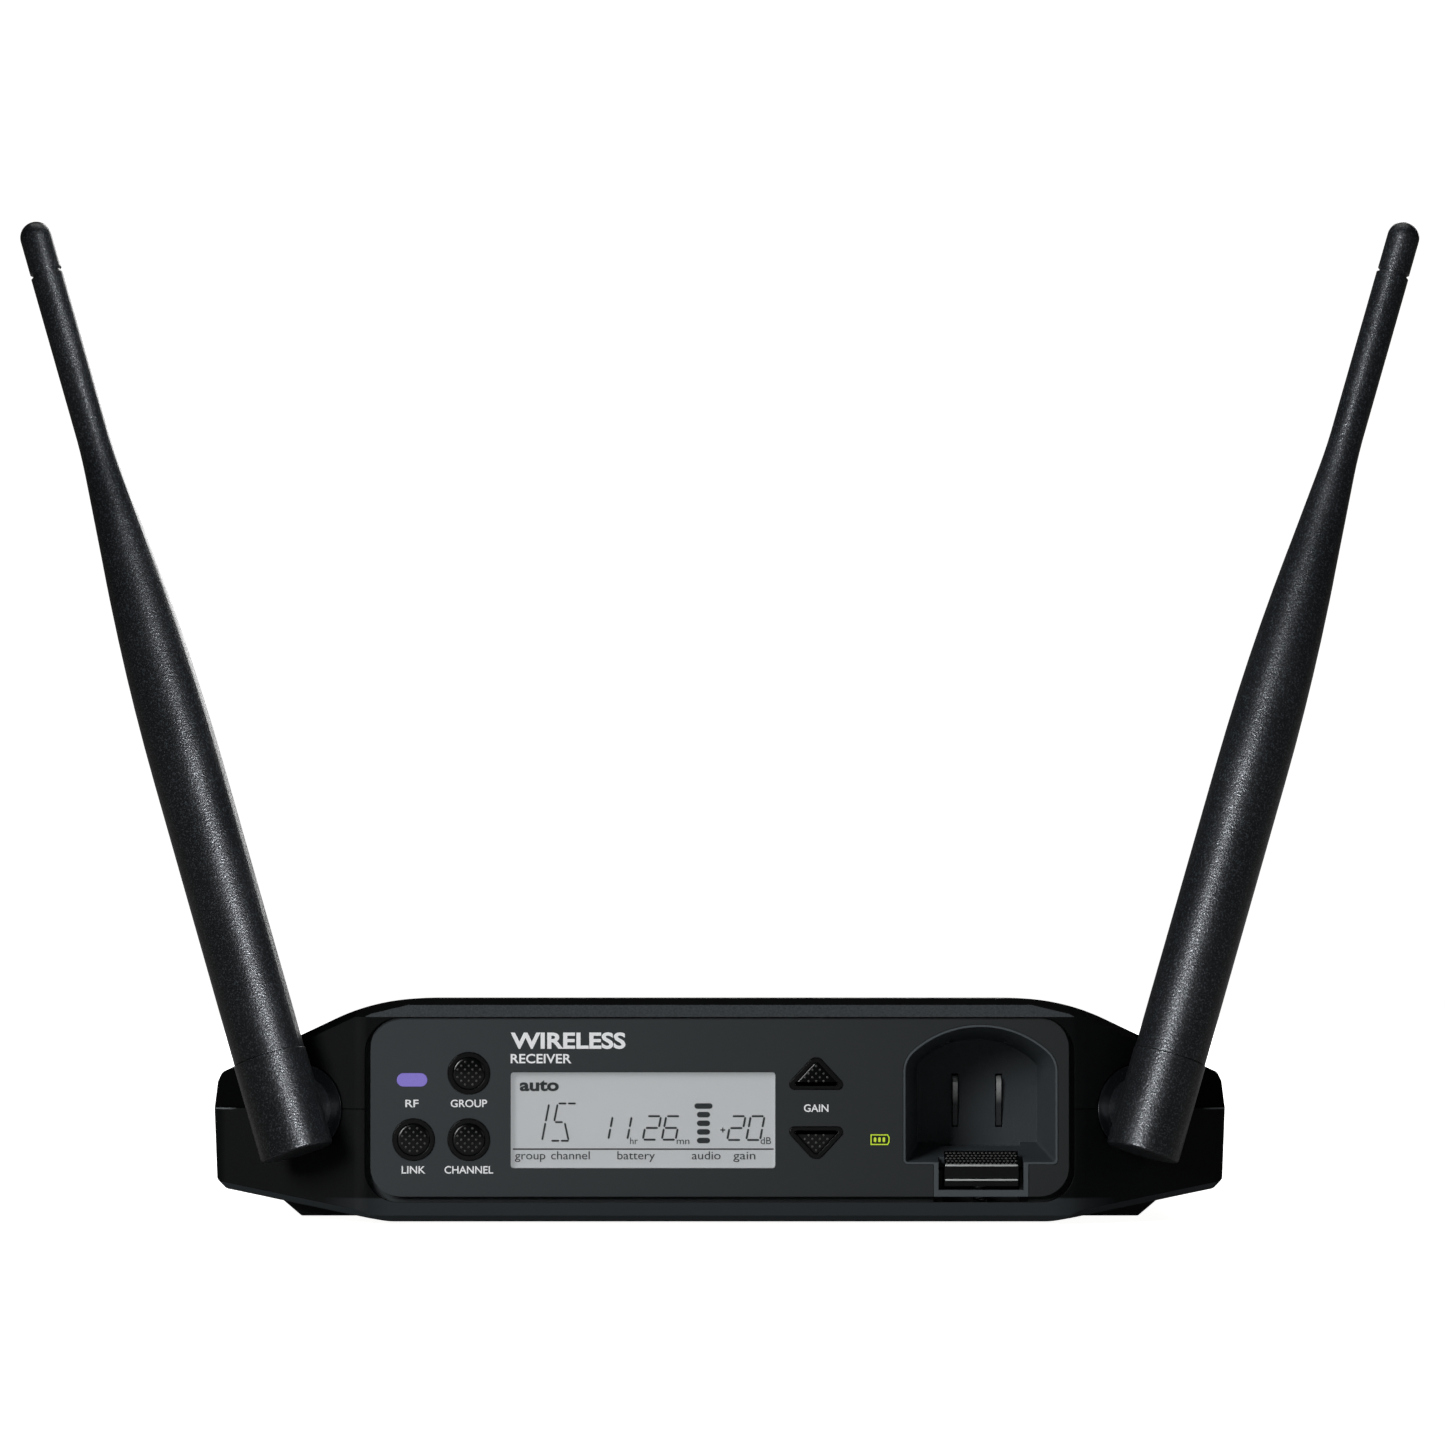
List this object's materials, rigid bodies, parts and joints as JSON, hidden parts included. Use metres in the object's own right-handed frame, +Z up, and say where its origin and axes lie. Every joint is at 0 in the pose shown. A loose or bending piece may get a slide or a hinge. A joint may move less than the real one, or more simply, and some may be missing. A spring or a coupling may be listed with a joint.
{
  "type": "wireless receiver",
  "caption": "Tabletop wireless audio receiver with swivelling antennas at its swept front corners, a display, push buttons and an open battery charging bay.",
  "frame": {"origin": "centre of the bounding box in plan, on the plane of the rubber feet", "axes": "+X to the right seen from the front, +Y from the front panel towards the rear connectors, +Z up"},
  "size_m": [0.2582, 0.1392, 0.1839],
  "materials": {
    "antenna": "fine grained satin",
    "black_plastic": "satin",
    "board": "solder mask",
    "brass": "plated",
    "flex": "polyimide film",
    "gloss_black": "gloss",
    "green_lens": "frosted",
    "label": "blank label film",
    "lcd": "anti-glare",
    "nickel": "nickel plate",
    "panel": "fine matt texture",
    "purple_lens": "frosted",
    "rubber": "matt",
    "shell": "satin, moulded",
    "steel": "bright zinc",
    "white_plastic": "diffusing"
  },
  "bodies": {
    "case": {"base_plate": "black_plastic", "battery_lens": "green_lens", "bay_cup": "shell", "board_chips": "black_plastic", "board_connectors": "white_plastic", "board_screws": "steel", "bottom_shell": "shell", "case_screws": "steel", "contact_block": "black_plastic", "cord_hook": "black_plastic", "dc_jack": "black_plastic", "flex_cable": "flex", "front_board": "board", "front_panel": "panel", "jack_nut": "nickel", "jack_socket": "black_plastic", "label_plate": "label", "latch_guide": "black_plastic", "latch_spring": "steel", "lcd_backlight": "white_plastic", "lcd_module": "lcd", "lcd_window": "lcd", "left_coax": "black_plastic", "main_board": "board", "panel_screws": "steel", "rear_panel": "black_plastic", "rf_light_pipe": "purple_lens", "right_coax": "black_plastic", "rubber_feet": "rubber", "shield_cans": "nickel", "tact_switches": "black_plastic", "top_shell": "shell", "usb_port": "nickel", "volume_nut": "nickel", "volume_pot": "steel", "xlr_pins": "nickel", "xlr_shell": "nickel"},
    "left_antenna": {"left_swivel": "gloss_black", "left_base_inner": "antenna", "left_base_outer": "antenna", "left_whip": "antenna", "left_cap": "antenna", "left_radiator": "brass"},
    "right_antenna": {"right_swivel": "gloss_black", "right_base_inner": "antenna", "right_base_outer": "antenna", "right_whip": "antenna", "right_cap": "antenna", "right_radiator": "brass"},
    "group_button_body": {"group_button": "gloss_black"},
    "link_button_body": {"link_button": "gloss_black"},
    "channel_button_body": {"channel_button": "gloss_black"},
    "gain_up_button_body": {"gain_up_button": "gloss_black"},
    "gain_down_button_body": {"gain_down_button": "gloss_black"},
    "latch_body": {"latch": "gloss_black"},
    "contact_left_body": {"contact_left": "nickel"},
    "contact_right_body": {"contact_right": "nickel"},
    "volume_body": {"volume_shaft": "steel", "volume_knob": "black_plastic"}
  },
  "joints": [
    {"name": "left_antenna_swivel", "type": "hinge", "parent": "case", "child": "left_antenna", "pos_m": [-0.0758, -0.05564, 0.0209], "axis": [-0.4067, -0.9135, 0], "range_deg": [-40, 72]},
    {"name": "right_antenna_swivel", "type": "hinge", "parent": "case", "child": "right_antenna", "pos_m": [0.0758, -0.05564, 0.0209], "axis": [-0.4067, 0.9135, 0], "range_deg": [-40, 72]},
    {"name": "group_button_press", "type": "slide", "parent": "case", "child": "group_button_body", "axis": [0, 1, 0], "range_m": [0, 0.0005], "stiffness_N_per_m": 2500, "springref_m": -0.0002},
    {"name": "link_button_press", "type": "slide", "parent": "case", "child": "link_button_body", "axis": [0, 1, 0], "range_m": [0, 0.0005], "stiffness_N_per_m": 2500, "springref_m": -0.0002},
    {"name": "channel_button_press", "type": "slide", "parent": "case", "child": "channel_button_body", "axis": [0, 1, 0], "range_m": [0, 0.0005], "stiffness_N_per_m": 2500, "springref_m": -0.0002},
    {"name": "gain_up_button_press", "type": "slide", "parent": "case", "child": "gain_up_button_body", "axis": [0, 1, 0], "range_m": [0, 0.0005], "stiffness_N_per_m": 2500, "springref_m": -0.0002},
    {"name": "gain_down_button_press", "type": "slide", "parent": "case", "child": "gain_down_button_body", "axis": [0, 1, 0], "range_m": [0, 0.0005], "stiffness_N_per_m": 2500, "springref_m": -0.0002},
    {"name": "latch_slide", "type": "slide", "parent": "case", "child": "latch_body", "axis": [0, 0, -1], "range_m": [0, 0.0015], "stiffness_N_per_m": 500, "springref_m": -0.0015, "deforming": ["latch_spring"]},
    {"name": "contact_left_flex", "type": "slide", "parent": "case", "child": "contact_left_body", "axis": [0, 1, 0], "range_m": [0, 0.001], "stiffness_N_per_m": 600, "springref_m": -0.0002},
    {"name": "contact_right_flex", "type": "slide", "parent": "case", "child": "contact_right_body", "axis": [0, 1, 0], "range_m": [0, 0.001], "stiffness_N_per_m": 600, "springref_m": -0.0002},
    {"name": "volume_turn", "type": "hinge", "parent": "case", "child": "volume_body", "pos_m": [0.02, 0.06356, 0.0206], "axis": [0, 1, 0], "range_deg": [-150, 150]}
  ]
}
